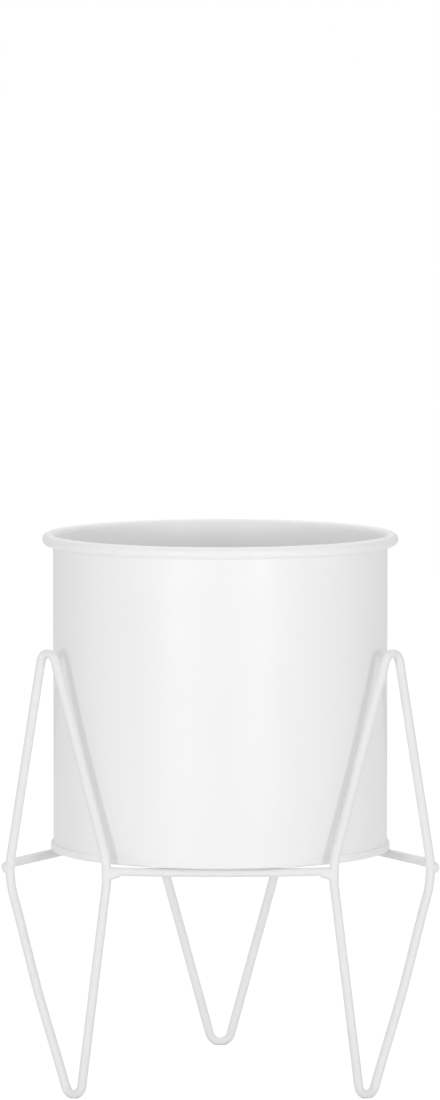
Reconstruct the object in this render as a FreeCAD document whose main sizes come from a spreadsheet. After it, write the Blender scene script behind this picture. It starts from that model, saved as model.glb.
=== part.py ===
import FreeCAD, Part
import math
import os

import Sketcher

# Wire plant stand with three diamond legs, three bars and a lift-out metal pot.
# Frame: +Z up, the floor at Z = 0, the pot's axis on the Z axis, the front towards -Y.

# Driving dimensions in millimetres and degrees.
DIMENSIONS = [
    ("wire_dia", 5.5),            # wire of the legs and bars
    ("leg_half_width", 38.9),     # loop's middle to wire centre at the widest level
    ("leg_rise", 129.2),          # widest level up to the wire centre at the top bend
    ("leg_drop", 129.9),          # widest level down to the wire centre at the foot bend
    ("leg_top_out", 11.8),        # front legs' top bend outward of the loop's middle
    ("leg_foot_in", 16.1),        # front legs' foot bend inward of the loop's middle
    ("top_bend", 5.8),            # bend radii on the wire centre
    ("foot_bend", 6.8),
    ("side_bend", 45),
    ("foot_flat", 0.4),           # depth of the flat under each foot
    ("leg_turn", 41.6),           # front legs turned away from the front
    ("leg_lean", 2),              # legs leaning towards the pot
    ("front_leg_gap", 11.4),      # pot's wall to the front legs' wire centres, at the bars
    ("back_leg_gap", 26.3),       # pot's wall to the back leg's wire centre, at the bars
    ("bar_overlap", 10.4),        # front bar inside the edge of the pot
    ("bar_above_corner", 3.5),    # bars above the legs' widest level, along the lean
    ("weld_dia", 6.4),            # weld beads, each set out from its wire
    ("weld_shift", 1.6),
    ("pot_dia", 200),             # outside of the pot's wall
    ("pot_height", 190),          # under the base to the top of the rim
    ("pot_sheet", 0.8),
    ("curl_dia", 7.2),            # rolled rim
    ("curl_gap", 0.5),            # rolled edge to the wall under it
    ("base_sheet", 1.2),
    ("base_hem", 4.5),            # height of the base's turned-up edge
    ("seam_gap", 0.1),            # wall to the turned-up edge
    ("seat_gap", 0.3),            # bars to the pot's base
]

# Places worked out from the driving dimensions.
LAYOUT = [
    ("wire_radius", "dims.wire_dia / 2"),
    ("pot_radius", "dims.pot_dia / 2"),
    ("bar_offset", "pot_radius - dims.bar_overlap"),
    ("back_offset", "pot_radius + dims.back_leg_gap"),
    ("leg_level", "dims.leg_drop * cos(dims.leg_lean * 1deg) + wire_radius - dims.foot_flat"),
    ("bar_level", "leg_level + dims.bar_above_corner * cos(dims.leg_lean * 1deg)"),
    ("lean_out", "dims.bar_above_corner * sin(dims.leg_lean * 1deg)"),
    # centres of the side bends and the foot bend, seen from the top bend's middle
    ("back_bend", "dims.leg_half_width - dims.side_bend"),
    ("outer_bend", "back_bend - dims.leg_top_out"),
    ("inner_bend", "back_bend + dims.leg_top_out"),
    ("foot_step", "dims.leg_top_out + dims.leg_foot_in"),
    # loop's middle to the wire centre where the bars meet it
    ("leg_reach", "back_bend + sqrt(dims.side_bend ^ 2 - dims.bar_above_corner ^ 2)"),
    # right front leg's inner and outer wire at the bars and its widest level under the top bend
    ("inner_x", "(pot_radius + dims.front_leg_gap - bar_offset * cos(dims.leg_turn * 1deg))"
                " / sin(dims.leg_turn * 1deg)"),
    ("leg_x", "inner_x + (leg_reach + dims.leg_top_out) * cos(dims.leg_turn * 1deg)"
              " + lean_out * sin(dims.leg_turn * 1deg)"),
    ("leg_y", "(leg_reach + dims.leg_top_out) * sin(dims.leg_turn * 1deg) - bar_offset"
              " - lean_out * cos(dims.leg_turn * 1deg)"),
    ("outer_x", "inner_x + 2 * leg_reach * cos(dims.leg_turn * 1deg)"),
    ("outer_y", "2 * leg_reach * sin(dims.leg_turn * 1deg) - bar_offset"),
    ("side_length", "hypot(outer_x - leg_reach; back_offset - outer_y)"),
    ("side_angle", "atan2(back_offset - outer_y; leg_reach - outer_x) / 1deg"),
    # each bar stops inside the wire, where the wire's round cuts it
    ("bar_inset", "wire_radius * 0.6"),
    ("pot_bottom", "bar_level + wire_radius + dims.seat_gap"),
    ("wall_bottom", "pot_bottom + dims.base_sheet"),
    ("wall_inside", "pot_radius - dims.pot_sheet"),
    ("curl_radius", "dims.curl_dia / 2"),
    ("curl_height", "pot_bottom + dims.pot_height - curl_radius"),
    ("lip_angle", "180 - acos((dims.pot_sheet + dims.curl_gap) / curl_radius - 1) / 1deg"),
    ("hem_inside", "pot_radius + dims.seam_gap"),
    ("floor_size", "4 * (back_offset + dims.leg_half_width)"),
]


def fill_sheet(doc, name, rows, prefix):
    sheet = doc.addObject("Spreadsheet::Sheet", name)
    for number, (alias, value) in enumerate(rows, start=1):
        sheet.set(f"A{number}", alias)
        sheet.set(f"B{number}", f"{prefix}{value}")
        sheet.setAlias(f"B{number}", alias)
    doc.recompute()
    return sheet


def bind(feature, **expressions):
    for path, expression in expressions.items():
        feature.setExpression(path, expression)


def place(feature, x, y, z, rotation):
    feature.setExpression("Placement", f"placement(vector({x}; {y}; {z}); rotation({rotation}))")


def new_sketch(body, name, plane):
    sketch = body.newObject("Sketcher::SketchObject", name)
    support = next(item for item in body.Origin.OriginFeatures if item.Role == plane)
    sketch.AttachmentSupport = [(support, "")]
    sketch.MapMode = "FlatFace"
    return sketch


def constrain(sketch, kind, *picks, size=None, expression=None):
    if expression is None:
        return sketch.addConstraint(Sketcher.Constraint(kind, *picks))
    number = sketch.addConstraint(Sketcher.Constraint(kind, *picks, size))
    sketch.setExpression(f"Constraints[{number}]", expression)
    return number


def flat(x, y):
    return FreeCAD.Vector(x, y, 0)


def arc(x, y, radius, start, end):
    circle = Part.Circle(flat(x, y), FreeCAD.Vector(0, 0, 1), radius)
    return Part.ArcOfCircle(circle, start, end)


def line(start, end):
    return Part.LineSegment(start, end)


# Sketch picks: a curve's points, the two axes and the origin.
START, END, CENTRE = range(1, 4)
AXIS_H, AXIS_V = range(-1, -3, -1)
ORIGIN = (AXIS_H, START)


def leg_path(body, dims, layout, name, side, bend, step):
    # Half of a loop, to the right (side 1) or left (side -1) of the top bend's middle:
    # top bend, side, widest bend, side and foot bend, all tangent.
    # bend names the place of the widest bend's centre, step says how often the foot step counts.
    sketch = new_sketch(body, name, "XZ_Plane")
    low_tip, high_tip = (START, END) if side > 0 else (END, START)
    bend_x, step_x = layout.get(bend), step * layout.foot_step
    top_z = dims.leg_rise - dims.top_bend
    foot_z = dims.leg_drop - dims.foot_bend

    def lean(reach_x, reach_z, shrink):
        # direction square to the line that touches both bends from outside
        return math.atan2(reach_z, reach_x) + math.acos(shrink / math.hypot(reach_x, reach_z))

    def bow(x, z, radius, low, high):
        if side > 0:
            return arc(x, z, radius, low, high)
        return arc(-x, z, radius, math.pi - high, math.pi - low)

    def tip(curve, pick):
        return curve.StartPoint if pick == START else curve.EndPoint

    upper = lean(bend_x, -top_z, dims.top_bend - dims.side_bend)
    lower = lean(step_x - bend_x, -foot_z, dims.side_bend - dims.foot_bend)
    arcs = [
        bow(0, top_z, dims.top_bend, upper, math.pi / 2),
        bow(bend_x, 0, dims.side_bend, lower, upper),
        bow(step_x, -foot_z, dims.foot_bend, -math.pi / 2, lower),
    ]
    top, wide, foot = [sketch.addGeometry(curve) for curve in arcs]
    high = sketch.addGeometry(line(tip(arcs[0], low_tip), tip(arcs[1], high_tip)))
    low = sketch.addGeometry(line(tip(arcs[1], low_tip), tip(arcs[2], high_tip)))
    constrain(sketch, "Tangent", high, START, top, low_tip)
    constrain(sketch, "Tangent", high, END, wide, high_tip)
    constrain(sketch, "Tangent", low, START, wide, low_tip)
    constrain(sketch, "Tangent", low, END, foot, high_tip)
    constrain(sketch, "PointOnObject", top, CENTRE, AXIS_V)
    constrain(sketch, "PointOnObject", top, high_tip, AXIS_V)
    constrain(sketch, "PointOnObject", wide, CENTRE, AXIS_H)
    constrain(sketch, "Vertical", foot, CENTRE, foot, low_tip)
    constrain(sketch, "DistanceX", *ORIGIN, wide, CENTRE, size=side * bend_x,
              expression=f"{side} * layout.{bend}")
    constrain(sketch, "DistanceX", *ORIGIN, foot, CENTRE, size=side * step_x,
              expression=f"{side * step} * layout.foot_step")
    constrain(sketch, "DistanceY", *ORIGIN, top, high_tip, size=dims.leg_rise, expression="dims.leg_rise")
    constrain(sketch, "DistanceY", foot, low_tip, *ORIGIN, size=dims.leg_drop, expression="dims.leg_drop")
    constrain(sketch, "Radius", top, size=dims.top_bend, expression="dims.top_bend")
    constrain(sketch, "Radius", wide, size=dims.side_bend, expression="dims.side_bend")
    constrain(sketch, "Radius", foot, size=dims.foot_bend, expression="dims.foot_bend")
    return sketch


def wire_section(body, dims):
    sketch = new_sketch(body, "section", "YZ_Plane")
    centre = flat(0, dims.leg_rise)
    circle = Part.Circle(centre, FreeCAD.Vector(0, 0, 1), dims.wire_dia / 2)
    wire = sketch.addGeometry(circle)
    constrain(sketch, "PointOnObject", wire, CENTRE, AXIS_V)
    constrain(sketch, "DistanceY", *ORIGIN, wire, CENTRE, size=dims.leg_rise, expression="dims.leg_rise")
    constrain(sketch, "Diameter", wire, size=dims.wire_dia, expression="dims.wire_dia")
    return sketch


def make_leg(doc, dims, layout, floor, name, x, y, rotation, halves):
    body = doc.addObject("PartDesign::Body", f"{name}_loop")
    section = wire_section(body, dims)
    for label, side, bend, step in halves:
        path = leg_path(body, dims, layout, f"{label}_path", side, bend, step)
        doc.recompute()
        half = body.newObject("PartDesign::AdditivePipe", f"{label}_half")
        half.Profile = section
        half.Spine = (path, [f"Edge{number}" for number in range(1, 6)])
        doc.recompute()
    place(body, x, y, "layout.leg_level", rotation)
    return cut(doc, name, body, floor)


def cut(doc, name, base, tool):
    result = doc.addObject("Part::Cut", name)
    result.Label = name
    result.Base = base
    result.Tool = tool
    return result


def make_floor(doc):
    floor = doc.addObject("Part::Box", "floor")
    bind(floor, Length="layout.floor_size", Width="layout.floor_size", Height="dims.wire_dia")
    place(floor, "-layout.floor_size / 2", "-layout.floor_size / 2", "-dims.wire_dia", "0; 0; 0")
    return floor


def make_legs(doc, dims, layout):
    floor = make_floor(doc)
    rows = [
        ("front_left_leg", "-layout.leg_x", "layout.leg_y", "-dims.leg_turn; 0; -dims.leg_lean",
         [("outer", -1, "outer_bend", -1), ("inner", 1, "inner_bend", 1)]),
        ("front_right_leg", "layout.leg_x", "layout.leg_y", "dims.leg_turn; 0; -dims.leg_lean",
         [("outer", 1, "outer_bend", -1), ("inner", -1, "inner_bend", 1)]),
        ("back_leg", "0", "layout.back_offset + layout.lean_out", "0; 0; dims.leg_lean",
         [("left", -1, "back_bend", 0), ("right", 1, "back_bend", 0)]),
    ]
    return [make_leg(doc, dims, layout, floor, *row) for row in rows]


def make_rod(doc, name, length, x, y, angle):
    # A straight rod from the inset at the wire centre (x, y), along the angle in plan.
    rod = doc.addObject("Part::Cylinder", f"{name}_rod")
    bind(rod, Radius="layout.wire_radius", Height=f"{length} - 2 * layout.bar_inset")
    place(rod, f"{x} + layout.bar_inset * cos(({angle}) * 1deg)",
          f"{y} + layout.bar_inset * sin(({angle}) * 1deg)", "layout.bar_level", f"{angle}; 90; 0")
    return rod


def make_bars(doc, legs):
    left, right, back = legs
    rows = [
        ("front_bar", "2 * layout.inner_x", "-layout.inner_x", "-layout.bar_offset", "0", (left, right)),
        ("left_bar", "layout.side_length", "-layout.outer_x", "layout.outer_y",
         "180 - layout.side_angle", (left, back)),
        ("right_bar", "layout.side_length", "layout.outer_x", "layout.outer_y",
         "layout.side_angle", (right, back)),
    ]
    rods, bars = [], []
    for name, length, x, y, angle, ends in rows:
        rod = make_rod(doc, name, length, x, y, angle)
        trimmed = cut(doc, f"{name}_trim", rod, ends[0])
        bars.append(cut(doc, name, trimmed, ends[1]))
        rods.append(rod)
    return rods, bars


def make_welds(doc, legs, rods):
    # One round bead where each bar end meets a leg, set out along the leg's own plane.
    turn = "dims.leg_turn * 1deg"
    inner = (f"layout.inner_x - dims.weld_shift * cos({turn})",
             f"-layout.bar_offset - dims.weld_shift * sin({turn})")
    outer = (f"layout.outer_x + dims.weld_shift * cos({turn})",
             f"layout.outer_y + dims.weld_shift * sin({turn})")
    back = ("layout.leg_reach + dims.weld_shift", "layout.back_offset")
    beads = []
    for label, (x, y) in (("inner", inner), ("outer", outer), ("back", back)):
        for side, sign in (("left", "-1"), ("right", "1")):
            bead = doc.addObject("Part::Sphere", f"{side}_{label}_bead")
            bind(bead, Radius="dims.weld_dia / 2")
            place(bead, f"{sign} * ({x})", y, "layout.bar_level", "0; 0; 0")
            beads.append(bead)
    bead_set = doc.addObject("Part::MultiFuse", "bead_set")
    bead_set.Shapes = beads
    wires = doc.addObject("Part::MultiFuse", "wire_set")
    wires.Shapes = legs + rods
    return cut(doc, "weld_beads", bead_set, wires)


def revolve(body, sketch, name):
    turned = body.newObject("PartDesign::Revolution", name)
    turned.Profile = sketch
    turned.ReferenceAxis = (sketch, ["V_Axis"])
    turned.Angle = 360
    body.Tip = turned
    return body


def make_pot_wall(doc, dims, layout):
    # Sheet wall whose top edge is rolled outward into a round rim, open by a slit.
    body = doc.addObject("PartDesign::Body", "pot_wall")
    body.Label = "pot_wall"
    sketch = new_sketch(body, "wall_profile", "XZ_Plane")
    radius = layout.curl_radius
    inside, outside = layout.wall_inside, layout.pot_radius
    centre_x, centre_z = inside + radius, layout.curl_height
    stop = math.radians(layout.lip_angle - 180)
    roll = arc(centre_x, centre_z, radius, stop, math.pi)
    lining = arc(centre_x, centre_z, radius - dims.pot_sheet, stop, math.pi)
    outer_roll = sketch.addGeometry(roll)
    inner_roll = sketch.addGeometry(lining)
    low_in, low_out = flat(inside, layout.wall_bottom), flat(outside, layout.wall_bottom)
    face_in = sketch.addGeometry(line(low_in, flat(inside, centre_z)))
    face_out = sketch.addGeometry(line(flat(outside, centre_z), low_out))
    bottom = sketch.addGeometry(line(low_out, low_in))
    lip = sketch.addGeometry(line(roll.StartPoint, lining.StartPoint))
    constrain(sketch, "Vertical", face_in)
    constrain(sketch, "Vertical", face_out)
    constrain(sketch, "Horizontal", bottom)
    constrain(sketch, "Tangent", face_in, END, outer_roll, END)
    constrain(sketch, "Tangent", face_out, START, inner_roll, END)
    constrain(sketch, "Coincident", face_out, END, bottom, START)
    constrain(sketch, "Coincident", bottom, END, face_in, START)
    constrain(sketch, "Coincident", lip, START, outer_roll, START)
    constrain(sketch, "Coincident", lip, END, inner_roll, START)
    constrain(sketch, "Coincident", inner_roll, CENTRE, outer_roll, CENTRE)
    constrain(sketch, "PointOnObject", outer_roll, CENTRE, lip)
    constrain(sketch, "Angle", lip, size=math.radians(layout.lip_angle), expression="layout.lip_angle * 1deg")
    constrain(sketch, "Radius", outer_roll, size=radius, expression="layout.curl_radius")
    constrain(sketch, "DistanceX", *ORIGIN, face_in, START, size=inside, expression="layout.wall_inside")
    constrain(sketch, "DistanceX", *ORIGIN, face_out, END, size=outside, expression="layout.pot_radius")
    constrain(sketch, "DistanceY", *ORIGIN, face_in, START, size=layout.wall_bottom,
              expression="layout.wall_bottom")
    constrain(sketch, "DistanceY", *ORIGIN, outer_roll, CENTRE, size=centre_z,
              expression="layout.curl_height")
    return revolve(body, sketch, "wall")


def make_pot_base(doc, dims, layout):
    # Shallow pan under the wall, with its edge turned up round the wall's foot.
    body = doc.addObject("PartDesign::Body", "pot_base")
    body.Label = "pot_base"
    sketch = new_sketch(body, "base_profile", "XZ_Plane")
    inside = layout.hem_inside
    outside = inside + dims.base_sheet
    under, level = layout.pot_bottom, layout.wall_bottom
    brim = under + dims.base_hem
    corners = [flat(0, under), flat(outside, under), flat(outside, brim),
               flat(inside, brim), flat(inside, level), flat(0, level)]
    edges = [sketch.addGeometry(line(corners[number - 1], corners[number])) for number in range(6)]
    for number, edge in enumerate(edges):
        constrain(sketch, "Coincident", edges[number - 1], END, edge, START)
        constrain(sketch, "Vertical" if number % 2 == 0 else "Horizontal", edge)
    middle, ground, rise, crest, fall, top = edges
    constrain(sketch, "PointOnObject", middle, START, AXIS_V)
    constrain(sketch, "DistanceX", *ORIGIN, fall, START, size=inside, expression="layout.hem_inside")
    constrain(sketch, "DistanceX", crest, END, crest, START, size=dims.base_sheet,
              expression="dims.base_sheet")
    constrain(sketch, "DistanceY", *ORIGIN, ground, START, size=under, expression="layout.pot_bottom")
    constrain(sketch, "DistanceY", *ORIGIN, top, START, size=level, expression="layout.wall_bottom")
    constrain(sketch, "DistanceY", rise, START, rise, END, size=dims.base_hem, expression="dims.base_hem")
    return revolve(body, sketch, "base")


def check(doc, pieces):
    for item in doc.Objects:
        if "Invalid" in item.State or "Error" in item.State:
            raise RuntimeError(f"{item.Name} failed: {item.State}")
    for piece in pieces:
        if piece.Shape.isNull() or not piece.Shape.isValid():
            raise RuntimeError(f"{piece.Label} has no valid shape")


def main():
    doc = FreeCAD.newDocument("plant_stand")
    dims = fill_sheet(doc, "dims", DIMENSIONS, "")
    layout = fill_sheet(doc, "layout", LAYOUT, "=")
    legs = make_legs(doc, dims, layout)
    rods, bars = make_bars(doc, legs)
    welds = make_welds(doc, legs, rods)
    wall = make_pot_wall(doc, dims, layout)
    base = make_pot_base(doc, dims, layout)
    doc.recompute()
    pieces = legs + bars + [welds, wall, base]
    check(doc, pieces)
    os.makedirs("parts", exist_ok=True)
    for piece in pieces:
        piece.Shape.exportStep(f"parts/{piece.Label}.step")
        print(piece.Label, len(piece.Shape.Solids), "solids", round(piece.Shape.Volume, 1), "mm3")


main()
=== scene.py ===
import math

import bmesh
import bpy
import numpy as np
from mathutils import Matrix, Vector


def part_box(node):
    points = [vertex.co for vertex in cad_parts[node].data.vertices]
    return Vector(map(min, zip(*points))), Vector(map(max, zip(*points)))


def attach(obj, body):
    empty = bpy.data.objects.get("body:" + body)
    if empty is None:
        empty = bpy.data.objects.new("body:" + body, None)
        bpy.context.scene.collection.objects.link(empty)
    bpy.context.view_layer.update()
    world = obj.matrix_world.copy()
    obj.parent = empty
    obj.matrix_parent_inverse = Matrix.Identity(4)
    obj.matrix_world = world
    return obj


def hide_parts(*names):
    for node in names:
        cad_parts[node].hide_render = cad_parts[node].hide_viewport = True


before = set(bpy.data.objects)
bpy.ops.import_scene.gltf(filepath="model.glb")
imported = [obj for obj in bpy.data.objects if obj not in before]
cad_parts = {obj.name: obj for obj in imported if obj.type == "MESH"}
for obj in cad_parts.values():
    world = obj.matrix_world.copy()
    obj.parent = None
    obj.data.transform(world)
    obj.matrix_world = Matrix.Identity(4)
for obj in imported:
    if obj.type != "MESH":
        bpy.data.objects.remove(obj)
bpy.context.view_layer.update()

mm = 0.001  # the pieces are set in millimetres and degrees, meshes are in metres
mergeGap = 0.002  # points of a mesh that lie closer than this become one


# shared shape tools

def bentLine(start, lengths, headings, counts):
    # a line drawn by its heading: between two knots the heading turns evenly with the run,
    # so a run is straight or a true arc, and each step is the exact chord of its arc
    knots = np.concatenate([[0.0], np.cumsum(lengths)])
    spans = [np.linspace(a, b, n, endpoint=False) for a, b, n in zip(knots, knots[1:], counts)]
    run = np.concatenate(spans + [knots[-1:]])
    heading = np.interp(run, knots, headings)
    middle, half = (heading[1:] + heading[:-1]) / 2, np.diff(heading) / 2
    chord = np.diff(run) * np.sinc(half / np.pi)
    line = np.zeros((len(run), 2)) + start
    line[1:] += np.cumsum(np.stack([chord * np.cos(middle), chord * np.sin(middle)], 1), 0)
    return run, heading, line


def sheetEdge(heading, line, thick, capCount):
    # outline of a sheet that follows a line: the line moved half a thickness to each side,
    # closed by a half circle at both ends
    side = np.stack([-np.sin(heading), np.cos(heading)], 1) * thick / 2
    ahead = np.stack([np.cos(heading), np.sin(heading)], 1) * thick / 2
    bow = np.linspace(0, np.pi, capCount + 2)[1:-1, None]
    endCap = line[-1] + side[-1] * np.cos(bow) + ahead[-1] * np.sin(bow)
    startCap = line[0] - side[0] * np.cos(bow) - ahead[0] * np.sin(bow)
    return np.concatenate([line + side, endCap, (line - side)[::-1], startCap])


def gridPart(points, closed, along, across, rub):
    # quads between neighbouring rows and columns of a grid of points; a closed direction joins
    # its last line to its first, and the signed volume tells which way round faces point outwards
    rows, cols = points.shape[:2]
    i, j = np.meshgrid(np.arange(rows - (not closed[0])), np.arange(cols - (not closed[1])), indexing="ij")
    iNext, jNext = (i + 1) % rows, (j + 1) % cols
    quads = np.stack([i * cols + j, iNext * cols + j, iNext * cols + jNext, i * cols + jNext], -1).reshape(-1, 4)
    u = np.stack([along[i], along[i + 1], along[i + 1], along[i]], -1)
    v = np.stack([across[j], across[j], across[j + 1], across[j + 1]], -1)
    uv = np.stack([u, v], -1).reshape(-1, 4, 2)
    spots = points.reshape(-1, 3)
    a, b, c, d = (spots[quads[:, k]] for k in range(4))
    volume = np.einsum("ij,ij->", a, np.cross(b, c) + np.cross(c, d))
    if volume < 0:
        quads, uv = quads[:, ::-1], uv[:, ::-1]
    return spots * mm, quads, uv * mm, np.broadcast_to(rub, (rows, cols)).reshape(-1)


def addPiece(name, parts, finish, body, nodes):
    # grids joined into one mesh, with a map in metres along and across, and the rub mask
    spotSets, quadSets, mapSets, rubSets = zip(*parts)
    offsets = np.cumsum([0] + [len(spotSet) for spotSet in spotSets[:-1]])
    spots = np.concatenate(spotSets)
    quads = np.concatenate([quadSet + offset for quadSet, offset in zip(quadSets, offsets)])
    mesh = bpy.data.meshes.new(name)
    mesh.vertices.add(len(spots))
    mesh.vertices.foreach_set("co", spots.astype(np.float32).ravel())
    mesh.loops.add(quads.size)
    mesh.loops.foreach_set("vertex_index", quads.astype(np.int32).ravel())
    mesh.polygons.add(len(quads))
    mesh.polygons.foreach_set("loop_start", np.arange(0, quads.size, 4, dtype=np.int32))
    mesh.update(calc_edges=True)
    mesh.uv_layers.new(name="run").data.foreach_set(
        "uv", np.concatenate(mapSets).astype(np.float32).ravel())
    mesh.attributes.new("rub", "FLOAT", "POINT").data.foreach_set(
        "value", np.concatenate(rubSets).astype(np.float32))
    mesh.polygons.foreach_set("use_smooth", np.ones(len(quads), bool))
    shell = bmesh.new()  # rows that shrink to a point close into a pole
    shell.from_mesh(mesh)
    bmesh.ops.remove_doubles(shell, verts=shell.verts, dist=mergeGap * mm)
    shell.to_mesh(mesh)
    shell.free()
    mesh.materials.append(finish)
    piece = bpy.data.objects.new(name, mesh)
    bpy.context.scene.collection.objects.link(piece)
    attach(piece, body)
    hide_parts(*nodes)
    low, high = spots.min(0), spots.max(0)
    nodeLow = np.min([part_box(n)[0] for n in nodes], 0)
    nodeHigh = np.max([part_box(n)[1] for n in nodes], 0)
    apart = max(np.abs(low - nodeLow).max(), np.abs(high - nodeHigh).max()) / mm
    print(f"{name}: {len(mesh.polygons)} faces, box within {apart:.2f} mm of its solid")


def ease(x, low, high):
    # 0 below low, 1 above high, and an even S between them
    t = np.clip((x - low) / (high - low), 0, 1)
    return t * t * (3 - 2 * t)


# finishes: three shared effects, then one material for the wires and one for the sheet metal

def addNode(tree, kind, **values):
    # a value goes to the input socket of its name, or else to the node's own setting
    made = tree.nodes.new(kind)
    for key, value in values.items():
        if key in made.inputs:
            made.inputs[key].default_value = value
        else:
            setattr(made, key, value)
    return made


def newGroup(name, inputs, outputs):
    # an empty group with number sockets, given back with the sockets to read from and to feed
    tree = bpy.data.node_groups.new(name, "ShaderNodeTree")
    for label, value in inputs.items():
        tree.interface.new_socket(label, in_out="INPUT", socket_type="NodeSocketFloat").default_value = value
    for label in outputs:
        tree.interface.new_socket(label, in_out="OUTPUT", socket_type="NodeSocketFloat")
    return tree, tree.nodes.new("NodeGroupInput").outputs, tree.nodes.new("NodeGroupOutput").inputs


def mathNode(tree, operation, *values):
    # numbers are set on the node, sockets are linked to it
    made = tree.nodes.new("ShaderNodeMath")
    made.operation = operation
    for socket, value in zip(made.inputs, values):
        if isinstance(value, (int, float)):
            socket.default_value = value
        else:
            tree.links.new(value, socket)
    return made.outputs[0]


def noiseNode(tree, spots, scale, detail, roughness=0.5):
    # noise from 0 to 1 at the given spots, with its scale from a group's input
    made = addNode(tree, "ShaderNodeTexNoise", Detail=detail, Roughness=roughness)
    tree.links.new(spots, made.inputs["Vector"])
    tree.links.new(scale, made.inputs["Scale"])
    return made.outputs[0]


def makeCoatGrain():
    # sprayed powder that flowed when baked: a fine peel of small rounded cells on broader swells,
    # a cloudy tone where the coat is thicker, and single specks of powder
    peelShare, swellShare = 0.45, 0.55  # of the height
    speckPitch, speckSize = 1.6, 0.1  # cells to a swell, and the radius of a speck in its cell
    speckRare = 0.6  # specks show where the clouds' noise is above this
    scales = {"Peel Scale": 900, "Swell Scale": 160, "Cloud Scale": 14}
    tree, given, out = newGroup("coatGrain", scales, ["Height", "Tone", "Gloss", "Specks"])
    spots = addNode(tree, "ShaderNodeTexCoord").outputs["Object"]
    peel = noiseNode(tree, spots, given["Peel Scale"], detail=1.5)
    swell = noiseNode(tree, spots, given["Swell Scale"], detail=1.0)
    height = mathNode(tree, "ADD", mathNode(tree, "MULTIPLY", peel, peelShare),
                      mathNode(tree, "MULTIPLY", swell, swellShare))
    tree.links.new(height, out["Height"])
    cloud = noiseNode(tree, spots, given["Cloud Scale"], detail=3.0, roughness=0.55)
    tree.links.new(mathNode(tree, "MULTIPLY_ADD", cloud, 2.0, -1.0), out["Tone"])  # from -1 to 1
    tree.links.new(mathNode(tree, "MULTIPLY_ADD", swell, 2.0, -1.0), out["Gloss"])
    cells = addNode(tree, "ShaderNodeTexVoronoi", Randomness=1.0)
    tree.links.new(spots, cells.inputs["Vector"])
    tree.links.new(mathNode(tree, "MULTIPLY", given["Swell Scale"], speckPitch), cells.inputs["Scale"])
    near = mathNode(tree, "LESS_THAN", cells.outputs["Distance"], speckSize)
    rare = mathNode(tree, "GREATER_THAN", noiseNode(tree, spots, given["Cloud Scale"], detail=0.0), speckRare)
    tree.links.new(mathNode(tree, "MULTIPLY", near, rare), out["Specks"])
    return tree


def makeSettledDust():
    # dust lies where a face looks up, in soft patches
    leastUp = 0.25  # steeper faces hold none
    tree, given, out = newGroup("settledDust", {"Amount": 0.3, "Patch Scale": 40}, ["Mask"])
    spots = addNode(tree, "ShaderNodeTexCoord").outputs["Object"]
    facing = tree.nodes.new("ShaderNodeSeparateXYZ")
    tree.links.new(tree.nodes.new("ShaderNodeNewGeometry").outputs["Normal"], facing.inputs[0])
    up = addNode(tree, "ShaderNodeMapRange", interpolation_type="SMOOTHSTEP")
    tree.links.new(facing.outputs["Z"], up.inputs["Value"])
    up.inputs["From Min"].default_value = leastUp
    patch = noiseNode(tree, spots, given["Patch Scale"], detail=4.0, roughness=0.6)
    lying = mathNode(tree, "MULTIPLY", mathNode(tree, "MULTIPLY", up.outputs[0], patch), given["Amount"])
    tree.links.new(lying, out["Mask"])
    return tree


def makeRubbedEdge():
    # the rub mask of a mesh broken up by fine noise: the coat is scuffed where pieces touch
    breakUp, fullRub = 1.2, 1.05  # swing of the noise, and the level at which the scuff is full
    tree, given, out = newGroup("rubbedEdge", {"Reach": 0.35, "Break Scale": 420}, ["Mask"])
    spots = addNode(tree, "ShaderNodeTexCoord").outputs["Object"]
    rub = addNode(tree, "ShaderNodeAttribute", attribute_name="rub").outputs["Fac"]
    broken = noiseNode(tree, spots, given["Break Scale"], detail=4.0, roughness=0.65)
    level = mathNode(tree, "ADD", rub, mathNode(tree, "MULTIPLY_ADD", broken, breakUp, -breakUp / 2))
    span = addNode(tree, "ShaderNodeMapRange", interpolation_type="SMOOTHSTEP")
    tree.links.new(level, span.inputs["Value"])
    tree.links.new(mathNode(tree, "SUBTRACT", 1.0, given["Reach"]), span.inputs["From Min"])
    span.inputs["From Max"].default_value = fullRub
    tree.links.new(span.outputs[0], out["Mask"])
    return tree


coatGrain, settledDust, rubbedEdge = makeCoatGrain(), makeSettledDust(), makeRubbedEdge()


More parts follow.
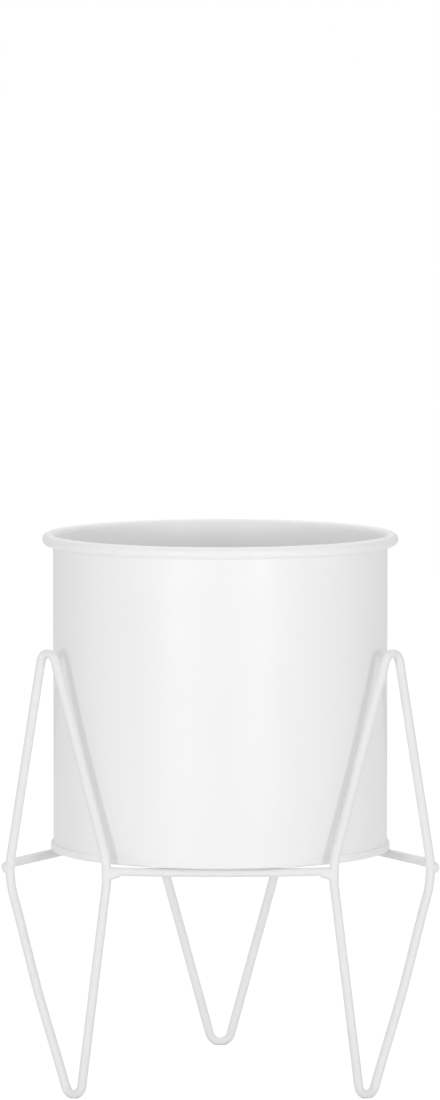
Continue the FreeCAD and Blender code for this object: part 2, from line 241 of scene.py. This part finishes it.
def makeCoat(name, s):
    # white coat: tone drifts with the clouds, specks and rubbed places are greyer, dust is warmer and duller
    coat = bpy.data.materials.new(name)
    coat.use_nodes = True
    tree = coat.node_tree
    tree.nodes.clear()
    surface = addNode(tree, "ShaderNodeBsdfPrincipled")
    tree.links.new(surface.outputs[0], tree.nodes.new("ShaderNodeOutputMaterial").inputs["Surface"])
    grain = addNode(tree, "ShaderNodeGroup", node_tree=coatGrain)
    dust = addNode(tree, "ShaderNodeGroup", node_tree=settledDust)
    rubbed = addNode(tree, "ShaderNodeGroup", node_tree=rubbedEdge)
    for label in ("Peel Scale", "Swell Scale", "Cloud Scale"):
        grain.inputs[label].default_value = s[label]
    dust.inputs["Amount"].default_value = s["dust"]
    rubbed.inputs["Reach"].default_value = s["reach"]

    # a Mix node's colour sockets are taken by place, since the float ones have the same names
    def colourMix(factor, first, second):
        mix = addNode(tree, "ShaderNodeMix", data_type="RGBA")
        tree.links.new(factor, mix.inputs[0])
        for socket, value in ((mix.inputs[6], first), (mix.inputs[7], second)):
            if isinstance(value, tuple):
                socket.default_value = (*value, 1)
            else:
                tree.links.new(value, socket)
        return mix.outputs[2]

    drift = mathNode(tree, "MULTIPLY_ADD", grain.outputs["Tone"], 0.5, 0.5)  # back to 0 to 1
    colour = colourMix(drift, s["thin"], s["thick"])
    colour = colourMix(mathNode(tree, "MULTIPLY", grain.outputs["Specks"], s["speckDepth"]), colour, s["speck"])
    colour = colourMix(dust.outputs["Mask"], colour, s["dustTone"])
    colour = colourMix(mathNode(tree, "MULTIPLY", rubbed.outputs["Mask"], s["rubDepth"]), colour, s["rubTone"])
    tree.links.new(colour, surface.inputs["Base Color"])
    rough = mathNode(tree, "MULTIPLY_ADD", grain.outputs["Gloss"], s["glossSwing"], s["rough"])
    for mask, label in ((dust.outputs["Mask"], "dustRough"), (rubbed.outputs["Mask"], "rubRough"),
                        (grain.outputs["Specks"], "speckRough")):
        rough = mathNode(tree, "ADD", rough, mathNode(tree, "MULTIPLY", mask, s[label]))
    tree.links.new(rough, surface.inputs["Roughness"])
    bump = addNode(tree, "ShaderNodeBump", Strength=s["peelStrength"], Distance=s["peelDepth"] * mm)
    tree.links.new(grain.outputs["Height"], bump.inputs["Height"])
    tree.links.new(bump.outputs[0], surface.inputs["Normal"])
    surface.inputs["IOR"].default_value = s["ior"]
    return coat


powder = {"speckDepth": 0.05, "dustRough": 0.3, "rubRough": 0.12, "speckRough": 0.1, "ior": 1.5}
wireFinish = powder | {
    "Peel Scale": 1100, "Swell Scale": 260, "Cloud Scale": 22,
    "thin": (0.85, 0.85, 0.85), "thick": (0.895, 0.895, 0.897), "speck": (0.58, 0.57, 0.55),
    "dust": 0.12, "dustTone": (0.70, 0.68, 0.64),
    "reach": 0.4, "rubDepth": 0.5, "rubTone": (0.42, 0.41, 0.40),
    "rough": 0.42, "glossSwing": 0.10, "peelStrength": 0.5, "peelDepth": 0.035,
}
sheetFinish = powder | {
    "Peel Scale": 800, "Swell Scale": 150, "Cloud Scale": 11,
    "thin": (0.915, 0.915, 0.915), "thick": (0.945, 0.945, 0.947), "speck": (0.62, 0.61, 0.59),
    "dust": 0.10, "dustTone": (0.70, 0.68, 0.64),
    "reach": 0.35, "rubDepth": 0.4, "rubTone": (0.5, 0.49, 0.48),
    "rough": 0.40, "glossSwing": 0.08, "peelStrength": 0.45, "peelDepth": 0.04,
}
wireCoat = makeCoat("wireCoat", wireFinish)
sheetCoat = makeCoat("sheetCoat", sheetFinish)
print("finishes: wireCoat and sheetCoat from", len(bpy.data.node_groups), "shared groups")


# layout: the sizes of the solids, in the same frame, with a few small forms given here

legs = {
    "wire": 5.5, "halfWidth": 38.9, "rise": 129.2,
    "drop": 130.3, "footFlat": 0.8,  # both 0.4 more than in the solids, so the feet are flatter at the same height
    "topOut": 11.8, "footIn": 16.1,  # front legs: end bends out of and in from the loop's middle
    "topBend": 5.8, "footBend": 6.8, "sideBend": 45.0,  # radii along the middle of the wire
    "turn": 41.6, "lean": 2.0,  # front legs away from the front, and every top towards the pot
    "frontGap": 11.4, "backGap": 26.3,  # from the pot to the planes of the legs
    "bow": 1.25,  # front legs: how far the outer straight above the foot bows out
    "oval": 0.045,  # share by which the wire flattens in its tightest bend
    "rubHeight": 1.1,  # how high the feet are scuffed
    "around": 32, "counts": (18, 44, 26, 44, 18),
}
bars = {
    "overlap": 10.4, "aboveCorner": 3.5,  # front bar in from the pot's side, bars above the widest level
    "inset": 0.6,  # length of the rounded ends, as a share of the radius
    "sag": 0.95, "frontWire": 5.0, "frontRise": 0.2,  # the front bar bows and is a little thinner
    "sideDrop": 1.0,  # the side bars are a little lower
    "seatRub": 0.6, "seatEdge": 0.95,  # scuff under the pot, and the cosine at which it starts
    "around": 32, "count": 60, "capCount": 6,
}
pot = {
    "dia": 200.0, "height": 190.0, "sheet": 0.8,
    "curlDia": 7.2, "curlGap": 0.5,  # rolled rim, and how far short of the wall its edge ends
    "baseSheet": 1.2, "hem": 4.5,  # base, and the height of its turned-up edge
    "seatGap": 0.3, "around": 200,
}

wireRadius, potRadius = legs["wire"] / 2, pot["dia"] / 2
turned, leaned = math.radians(legs["turn"]), math.radians(legs["lean"])
barOffset, backOffset = potRadius - bars["overlap"], potRadius + legs["backGap"]
legLevel = legs["drop"] * math.cos(leaned) + wireRadius - legs["footFlat"]  # where the loops are widest
barLevel = legLevel + bars["aboveCorner"] * math.cos(leaned)
frontLevel, sideLevel = barLevel + bars["frontRise"], barLevel - bars["sideDrop"]
barRadius = {"front_bar": bars["frontWire"] / 2, "left_bar": wireRadius, "right_bar": wireRadius}
leanOut = bars["aboveCorner"] * math.sin(leaned)  # widest level outward of the level of the bars
bendPlace = legs["halfWidth"] - legs["sideBend"]  # from the loop's middle to the centre of a side bend
legReach = bendPlace + math.sqrt(legs["sideBend"] ** 2 - bars["aboveCorner"] ** 2)  # and to the wire at the bars
innerX = (potRadius + legs["frontGap"] - barOffset * math.cos(turned)) / math.sin(turned)
legX = innerX + legReach * math.cos(turned) + leanOut * math.sin(turned)
legY = legReach * math.sin(turned) - barOffset - leanOut * math.cos(turned)
outerX, outerY = innerX + 2 * legReach * math.cos(turned), 2 * legReach * math.sin(turned) - barOffset
potBottom = barLevel + wireRadius + pot["seatGap"]
wallBottom = potBottom + pot["baseSheet"]
curlRadius = pot["curlDia"] / 2
curlHeight = potBottom + pot["height"] - curlRadius


def legFrame(turn, mirror, lean, place):
    # columns are where the loop's outward side, its depth and its height point
    c, s, cl, sl = math.cos(turn), math.sin(turn), math.cos(lean), math.sin(lean)
    axes = [[mirror * c, -mirror * s * cl, -mirror * s * sl], [s, c * cl, c * sl], [0.0, -sl, cl]]
    return np.array(axes), np.array(place)


legPlaces = {
    "front_left_leg": legFrame(turned, -1, leaned, (-legX, legY, legLevel)),
    "front_right_leg": legFrame(turned, 1, leaned, (legX, legY, legLevel)),
    "back_leg": legFrame(0.0, 1, -leaned, (0.0, backOffset + leanOut, legLevel)),
}
barEnds = {
    "front_bar": ((-innerX, -barOffset, frontLevel), (innerX, -barOffset, frontLevel)),
    "left_bar": ((-outerX, outerY, sideLevel), (-legReach, backOffset, sideLevel)),
    "right_bar": ((outerX, outerY, sideLevel), (legReach, backOffset, sideLevel)),
}
print(f"layout: bars at {barLevel:.2f} mm, pot from {potBottom:.2f} to {curlHeight + curlRadius:.2f} mm")


# legs: three closed loops of bent wire

def legHalf(s, top, foot):
    # one half of a loop: top bend, straight, side bend, straight, foot bend; a straight touches both its bends,
    # so the cosine between its normal and the line of their centres is the difference of radii over the distance;
    # top and foot are how far towards this half the two end bends are
    centres = np.array([[top, s["rise"] - s["topBend"]], [bendPlace, 0.0], [foot, s["footBend"] - s["drop"]]])
    radii = np.array([s["topBend"], s["sideBend"], s["footBend"]])
    gap, shrink = np.diff(centres, axis=0), -np.diff(radii)
    apart = np.hypot(*gap.T)
    lean = np.arctan2(gap[:, 1], gap[:, 0]) + np.arccos(shrink / apart)
    stops = np.array([math.pi / 2, *lean, -math.pi / 2])
    bends, straights = -radii * np.diff(stops), np.sqrt(apart ** 2 - shrink ** 2)
    lengths = [bends[0], straights[0], bends[1], straights[1], bends[2]]
    return lean, bentLine((top, s["rise"]), lengths, np.repeat(stops, (1, 2, 2, 1)) - math.pi / 2, s["counts"])


def legEnds(node, side):
    # end bends of a half on the outer (1) or inner (-1) side; the back leg is even
    even = node == "back_leg"
    return (0.0, 0.0) if even else (side * legs["topOut"], -side * legs["footIn"])


def makeLegs(s):
    # the wire's round section carried along the loop: centre line plus radius times (cosine outward in the
    # loop's plane, sine across it); in a bend the section is a little flatter and wider
    swing = np.linspace(0, 2 * math.pi, s["around"] + 1)
    angle = swing[None, :-1, None]
    for node, (axes, place) in legPlaces.items():
        (_, (run, heading, line)), (_, (runBack, headingBack, lineBack)) = (
            legHalf(s, *legEnds(node, side)) for side in (1, -1))
        if node != "back_leg":  # the lower straight, fourth of the five runs, bows out by a squared sine
            start, count = sum(s["counts"][:3]), s["counts"][3]
            bulge = s["bow"] * np.sin(math.pi * np.arange(count) / count)[:, None] ** 2
            tilt = heading[start:start + count]
            line[start:start + count] += bulge * np.stack([-np.sin(tilt), np.cos(tilt)], 1)
        line = np.concatenate([line, lineBack[-2:0:-1] * (-1, 1)])
        heading = np.concatenate([heading, -2 * math.pi - headingBack[-2:0:-1]])
        run = np.concatenate([run, run[-1] + runBack[-1] - runBack[-2::-1]])
        bend = np.abs(np.gradient(heading, run[:-1])) * s["topBend"]
        flat = s["oval"] * np.clip(bend, 0, 1)[:, None, None]
        outward = np.stack([-np.sin(heading), np.zeros_like(heading), np.cos(heading)], 1)[:, None]
        spine = np.insert(line, 1, 0.0, axis=1)[:, None]
        points = spine + wireRadius * ((1 - flat) * np.cos(angle) * outward
                                       + (1 + flat) * np.sin(angle) * np.array([0, 1.0, 0]))
        points = points @ axes.T + place
        points[..., 2] = np.maximum(points[..., 2], 0)  # the flat under each foot
        rub = np.exp(-points[..., 2] / s["rubHeight"])
        part = gridPart(points, (True, True), run, swing * wireRadius, rub)
        addPiece(node.title().replace("_", "") + "Wire", [part], wireCoat, "stand", [node])


makeLegs(legs)


# bars: straight wires that run into the leg wires

def makeBars(s):
    # a straight centre line with the wire's section round it; the ends round off inside the leg wires
    swing = np.linspace(0, 2 * math.pi, s["around"] + 1)
    share = np.linspace(0, 1, s["count"])
    cap = np.linspace(0, math.pi / 2, s["capCount"])
    for node, (start, end) in barEnds.items():
        start, end = np.array(start), np.array(end)
        length = np.linalg.norm(end - start)
        ahead = (end - start) / length
        across = np.cross([0, 0, 1.0], ahead)
        inset = s["inset"] * barRadius[node]
        run = np.concatenate([inset - inset * np.cos(cap[:-1]), inset + share * (length - 2 * inset),
                              length - inset + inset * np.sin(cap[1:])])
        size = barRadius[node] * np.concatenate([np.sin(cap[:-1]), np.ones(s["count"]), np.cos(cap[1:])])
        ring = np.cos(swing[:-1, None]) * np.array([0, 0, 1.0]) + np.sin(swing[:-1, None]) * across
        points = start + run[:, None, None] * ahead + size[:, None, None] * ring
        if node == "front_bar":  # sags a little, as much above its level at the ends as below it in the middle
            points[..., 2] += s["sag"] * ((2 * run[:, None] / length - 1) ** 2 - 0.5)
        seated = np.hypot(points[..., 0], points[..., 1]) < potRadius  # the pot stands on this stretch
        rub = s["seatRub"] * seated * ease(np.cos(swing[:-1]), s["seatEdge"], 1.0)
        part = gridPart(points, (False, True), run, swing * barRadius[node], rub)
        addPiece(node.title().replace("_", "") + "Wire", [part], wireCoat, "stand", [node])


makeBars(bars)


# welds: one at each end of each bar

welds = {
    "dia": 7.0, "stub": 2.8, "stubDrop": 2.8,  # bead on a side bar's end, outside the leg wire
    "wedge": 2.9, "wedgeLength": 10.5, "wedgeDia": 4.7,  # tapers under an end of the front bar
    "below": 1.6, "above": 1.0,  # how wide the fillet runs under and over the bar
    "change": 1.5,  # height over which one width passes into the other
    "ripple": 0.07, "pitch": 1.3, "rippleDepth": 0.5,  # rings left by the weld pool, where it is this deep
    "sink": 0.04, "reach": 8.5,  # kept just under the wires, and only near the joint
    "rows": 56, "around": 80, "steps": 60, "stride": 0.8, "mapRadius": 3,
}


def smoothJoin(a, b, width):
    # the nearer of two distances, with the crease between them filled over the given width
    near = np.clip(width - np.abs(a - b), 0, None) / width
    return np.minimum(a, b) - near * near * width / 4


def makeWelds(s):
    # from the point where the centre lines meet, each direction of a ball is followed outwards to where the
    # joined distance to leg wire, bar and bead is nought: a ball-shaped grid that shows only as the fillet
    polar = np.linspace(0, math.pi, s["rows"])[:, None]
    swing = np.linspace(0, 2 * math.pi, s["around"] + 1)
    upright = np.array([0, 0, 1.0])
    legsOfBar = {"front_bar": ("front_left_leg", "front_right_leg"), "left_bar": ("front_left_leg", "back_leg"),
                 "right_bar": ("front_right_leg", "back_leg")}
    parts = []
    for bar, legPair in legsOfBar.items():
        for k, leg in enumerate(legPair):
            joint, far = np.array(barEnds[bar][k]), np.array(barEnds[bar][1 - k])
            ahead = (far - joint) / np.linalg.norm(far - joint)
            axes, place = legPlaces[leg]
            side = np.sign((joint - place) @ axes[:, 0])
            (upper, lower), _ = legHalf(legs, *legEnds(leg, side))
            if bar == "front_bar":
                rodStart, rodEnd = joint - s["wedge"] * upright, joint + s["wedgeLength"] * ahead
                rodRadius = s["wedgeDia"] / 2
                bead, beadRadius = joint, wireRadius
            else:
                rodStart, rodEnd, rodRadius = joint, far, wireRadius
                bead = joint + s["stub"] * side * axes[:, 0] - s["stubDrop"] * upright
                beadRadius = s["dia"] / 2
            rodLine = rodEnd - rodStart
            across = np.cross(upright, ahead)
            ray = (np.cos(polar)[..., None] * ahead + np.sin(polar)[..., None] * (
                np.cos(swing[:-1])[None, :, None] * upright + np.sin(swing[:-1])[None, :, None] * across))
            travel = np.zeros(ray.shape[:2])
            for _ in range(s["steps"]):
                spot = joint + travel[..., None] * ray
                own = (spot - place) @ axes
                wide = side * own[..., 0] - bendPlace
                # the angle on the side bend's arc, kept at its end along the straights past it
                turn = np.clip(np.arctan2(own[..., 2], wide), lower, upper)
                reach = wide * np.cos(turn) + own[..., 2] * np.sin(turn) - legs["sideBend"]
                wire = np.hypot(reach, own[..., 1]) - wireRadius
                gone = np.clip((spot - rodStart) @ rodLine / (rodLine @ rodLine), 0, 1)[..., None]
                rod = np.linalg.norm(spot - rodStart - gone * rodLine, axis=-1) - rodRadius
                ball = np.linalg.norm(spot - bead, axis=-1) - beadRadius
                low = ease(joint[2] - spot[..., 2], -s["change"], s["change"])
                width = s["above"] + (s["below"] - s["above"]) * low
                filled = smoothJoin(smoothJoin(wire, rod, width), ball, s["above"])
                pool = ease(np.minimum(wire, rod) - filled, 0, s["rippleDepth"])
                rings = s["ripple"] * np.sin(2 * math.pi * ((spot - joint) @ ahead) / s["pitch"]) * pool
                travel = np.clip(travel - s["stride"] * (filled + rings + s["sink"]), 0, s["reach"])
            parts.append(gridPart(joint + travel[..., None] * ray, (False, True),
                                  np.append(polar[:, 0], 0) * s["mapRadius"], swing * s["mapRadius"], 0.0))
    addPiece("WeldFillets", parts, wireCoat, "stand", ["weld_beads"])


makeWelds(welds)


# pot: a rolled sheet wall with a curled rim, and a pressed base

def revolve(outline, angles, closedOutline, rub, stray):
    # an outline of radius and height turned round the upright axis, with the radius off by stray at each point
    radius = outline[None, :, 0] + stray
    points = np.stack([radius * np.cos(angles[:-1, None]), radius * np.sin(angles[:-1, None]),
                       np.broadcast_to(outline[:, 1], radius.shape)], -1)
    steps = np.linalg.norm(np.diff(outline, axis=0, append=outline[:1]), axis=1)
    return gridPart(points, (True, closedOutline), angles * potRadius, np.append(0, np.cumsum(steps)), rub)


wall = {
    "wave": 0.10, "waveFoot": 25, "waveTop": 30,  # how far the sheet strays, fading to its foot and its curl
    "lobes": 3, "lobePhase": 0.7, "lobeHeight": 23.0,
    "ripples": ((0.6, 7, 31.0), (0.35, 12, -12.0)),  # share, number round the wall, height in which they slant
    "lapRise": 0.32, "lapStep": 0.3, "lapFlat": 3.0, "lapEnd": 21.0,  # overlap of the sheet's two ends
    "lapFoot": (4, 8), "lapTop": 6,  # it starts above the base and ends below the curl
    "fine": 1.2, "fineCount": 13,  # columns set close together at its step
    "rimRub": 0.45, "rimRubHeight": 0.5,
    "wallCount": 46, "curlCount": 44, "capCount": 5,
}


def makeWall(s):
    # middle line of the sheet: straight up, then an outward roll that ends short of the wall
    half = pot["sheet"] / 2
    lip = math.pi - math.acos((pot["sheet"] + pot["curlGap"]) / curlRadius - 1)
    sweep = 2 * math.pi - lip
    upright = math.pi / 2
    run, heading, line = bentLine((potRadius - half, wallBottom + half),
                                  [curlHeight - wallBottom - half, (curlRadius - half) * sweep],
                                  [upright, upright, upright - sweep], (s["wallCount"], s["curlCount"]))
    outline = sheetEdge(heading, line, pot["sheet"], s["capCount"])
    lapEdge = upright  # at the back
    fine = np.linspace(-s["fine"], s["fine"], s["fineCount"]) / potRadius
    angles = np.unique(np.concatenate([np.linspace(0, 2 * math.pi, pot["around"] + 1), lapEdge + fine]))
    turn, height = angles[:-1, None], outline[None, :, 1]
    # a sine round the wall times a sine up it, and slanting sines of both together
    wave = np.sin(s["lobes"] * turn + s["lobePhase"]) * np.sin(height / s["lobeHeight"])
    for share, count, rise in s["ripples"]:
        wave = wave + share * np.sin(count * turn + height / rise)
    free = ease(height, wallBottom, wallBottom + s["waveFoot"])
    free = free * (1 - ease(height, curlHeight - s["waveTop"], curlHeight))
    # the lap lifts the outer face alone: a short step at its edge, then a long way back
    past = (turn - lapEdge) * potRadius
    outer = np.zeros(len(outline))
    outer[len(line) + s["capCount"]:-s["capCount"]] = run[::-1]
    straight = run[s["wallCount"]]
    face = ease(outer, *s["lapFoot"]) * (1 - ease(outer, straight - s["lapTop"], straight))
    lap = ease(past, -s["lapStep"], s["lapStep"]) * (1 - ease(past, s["lapFlat"], s["lapEnd"]))
    stray = s["wave"] * free * wave + s["lapRise"] * face * lap
    top = curlHeight + curlRadius
    rub = s["rimRub"] * ease(height, top - s["rimRubHeight"], top)
    part = revolve(outline, angles, True, rub, stray)
    addPiece("PotWallSheet", [part], sheetCoat, "pot", ["pot_wall"])


makeWall(wall)

base = {
    "lip": 1.6, "lipRound": 0.3,  # how far the turned-up edge stands out at the sides
    "lipSqueeze": 0.85, "squeezePower": 4,  # by how large a share less at the front and back, and how evenly
    "tuck": 0.05, "bend": 1.2, "innerBend": 0.4,
    "dishRadius": 80.0, "dishRise": 0.9, "dishIn": 3, "dishOut": 1,  # pressed middle, and the width of its slope
    "ring": 6, "rub": 0.8,  # round the dish it stands on the bars and is scuffed
    "counts": (60, 8, 4, 4, 3, 3, 4, 5, 50),
}


def makeBase(s):
    # section of the pan, drawn round from under the axis: flat, bend up, lip with a square top tight on the
    # wall, down inside it, bend and flat back to the axis; its middle is pressed up a little
    quarter = math.pi / 2
    outside, inside = potRadius + s["lip"], potRadius - s["tuck"]
    bend, tip, inner = s["bend"], s["lipRound"], s["innerBend"]
    lengths = [outside - bend, bend * quarter, pot["hem"] - bend - tip, tip * quarter, outside - inside - 2 * tip,
               tip * quarter, pot["hem"] - pot["baseSheet"] - tip - inner, inner * quarter, inside - inner]
    headings = np.array([0, 0, 1, 1, 2, 2, 3, 3, 2, 2]) * quarter
    run, _, outline = bentLine((0.0, potBottom), lengths, headings, s["counts"])
    outline[-1, 0] = 0.0  # right on the axis, so the pole closes
    radius, dish = outline[:, 0], s["dishRadius"]
    outline[:, 1] += s["dishRise"] * (1 - ease(radius, dish - s["dishIn"], dish + s["dishOut"]))
    angles = np.linspace(0, 2 * math.pi, pot["around"] + 1)
    under = (run < lengths[0]) * ease(radius, dish, dish + s["ring"])
    # towards the front and back the lip's outer face and the bend below shift in as one, and its top narrows
    squeeze = s["lipSqueeze"] * (1 - np.cos(angles[:-1, None]) ** s["squeezePower"])
    shift = s["lip"] * ease(radius, dish + s["ring"], outside - bend)
    narrow = np.clip(radius - potRadius, 0, None)
    stray = -squeeze * np.where(run < sum(lengths[:3]), shift, narrow)
    part = revolve(outline, angles, False, s["rub"] * under, stray)
    addPiece("PotBasePan", [part], sheetCoat, "pot", ["pot_base"])


makeBase(base)


# stage: pale floor, soft light and camera, set in metres and degrees

stageSet = {
    "floorSize": 40.0, "floorDrop": 0.05 * mm, "floorTone": (0.9, 0.9, 0.9), "floorRough": 0.7,
    "veil": 0.8, "veilTone": 1.13,  # share and brightness of the white veil over the floor
    "fill": 0.643, "backdrop": 1.0,  # light from all round, and the white behind the object
}


def makeFloor(s):
    half = s["floorSize"] / 2
    mesh = bpy.data.meshes.new("floor")
    mesh.from_pydata([(-half, -half, 0), (half, -half, 0), (half, half, 0), (-half, half, 0)], [], [(0, 1, 2, 3)])
    floor = bpy.data.objects.new("floor", mesh)
    floor.location.z = -s["floorDrop"]
    bpy.context.scene.collection.objects.link(floor)
    paper = bpy.data.materials.new("palePaper")
    paper.use_nodes = True
    tree = paper.node_tree
    surface = tree.nodes["Principled BSDF"]
    surface.inputs["Base Color"].default_value = (*s["floorTone"], 1)
    surface.inputs["Roughness"].default_value = s["floorRough"]
    # the paper is seen through a white veil, so that it stays pale without throwing more light at the object
    veil = addNode(tree, "ShaderNodeEmission", Color=(1, 1, 1, 1), Strength=s["veilTone"])
    mix = tree.nodes.new("ShaderNodeMixShader")
    seen = tree.nodes.new("ShaderNodeLightPath").outputs["Is Camera Ray"]
    tree.links.new(mathNode(tree, "MULTIPLY", seen, s["veil"]), mix.inputs[0])
    tree.links.new(surface.outputs[0], mix.inputs[1])
    tree.links.new(veil.outputs[0], mix.inputs[2])
    tree.links.new(mix.outputs[0], tree.nodes["Material Output"].inputs["Surface"])
    mesh.materials.append(paper)


def makeRoom(s):
    world = bpy.data.worlds.new("whiteRoom")
    bpy.context.scene.world = world
    world.use_nodes = True
    tree = world.node_tree
    tree.nodes.clear()
    fill = addNode(tree, "ShaderNodeBackground", Color=(1, 1, 1, 1), Strength=s["fill"])
    backdrop = addNode(tree, "ShaderNodeBackground", Color=(1, 1, 1, 1), Strength=s["backdrop"])
    mix = tree.nodes.new("ShaderNodeMixShader")
    tree.links.new(tree.nodes.new("ShaderNodeLightPath").outputs["Is Camera Ray"], mix.inputs[0])
    tree.links.new(fill.outputs[0], mix.inputs[1])
    tree.links.new(backdrop.outputs[0], mix.inputs[2])
    tree.links.new(mix.outputs[0], tree.nodes.new("ShaderNodeOutputWorld").inputs[0])
    bpy.context.scene.view_settings.view_transform = "Standard"


makeFloor(stageSet)
makeRoom(stageSet)

# low lamps left and right of the camera, a narrow beam down into the pot, wide soft lamps behind and above
lights = {
    "leftBox": {"azimuth": -26.5, "height": 5.5, "away": 2.2, "size": 0.22, "spread": 180, "power": 6.6},
    "rightBox": {"azimuth": 26.5, "height": 5.5, "away": 2.2, "size": 0.22, "spread": 180, "power": 6.6},
    "potBox": {"azimuth": 0, "height": 90, "away": 0.75, "size": 0.17, "spread": 5, "power": 0.024},
    "backBox": {"azimuth": 180, "height": 45, "away": 2.2, "size": 1.8, "spread": 180, "power": 8.0},
    "topBox": {"azimuth": 180, "height": 70, "away": 2.2, "size": 1.8, "spread": 180, "power": 5.0},
}
lightAim = (0, 0, 0.2)


def makeLights(boxes):
    aim = Vector(lightAim)
    for name, s in boxes.items():
        lamp = bpy.data.lights.new(name, "AREA")
        lamp.shape, lamp.size, lamp.energy = "DISK", s["size"], s["power"]
        lamp.spread = math.radians(s["spread"])
        box = bpy.data.objects.new(name, lamp)
        a, e = math.radians(s["azimuth"]), math.radians(s["height"])
        back = Vector((math.sin(a) * math.cos(e), -math.cos(a) * math.cos(e), math.sin(e)))
        box.location = aim + back * s["away"]
        box.rotation_euler = back.to_track_quat("Z", "Y").to_euler()
        bpy.context.scene.collection.objects.link(box)


makeLights(lights)

cameraSet = {
    "place": (-0.00016, -4.55, 0.71), "down": 4.92,
    "focal": 7638.0, "frameHeight": 1100, "sensor": 36.0,  # focal length in pixels of a frame this high
    "clipEnd": 100,
}


def makeCamera(s):
    lens = bpy.data.cameras.new("camera")
    lens.sensor_width = s["sensor"]
    lens.lens = s["sensor"] * s["focal"] / s["frameHeight"]
    lens.clip_end = s["clipEnd"]
    camera = bpy.data.objects.new("camera", lens)
    camera.location = s["place"]
    camera.rotation_euler = (math.radians(90 - s["down"]), 0, 0)
    bpy.context.scene.collection.objects.link(camera)
    bpy.context.scene.camera = camera


makeCamera(cameraSet)
print("stage:", len(lights), "lights, camera", cameraSet["down"], "degrees down")
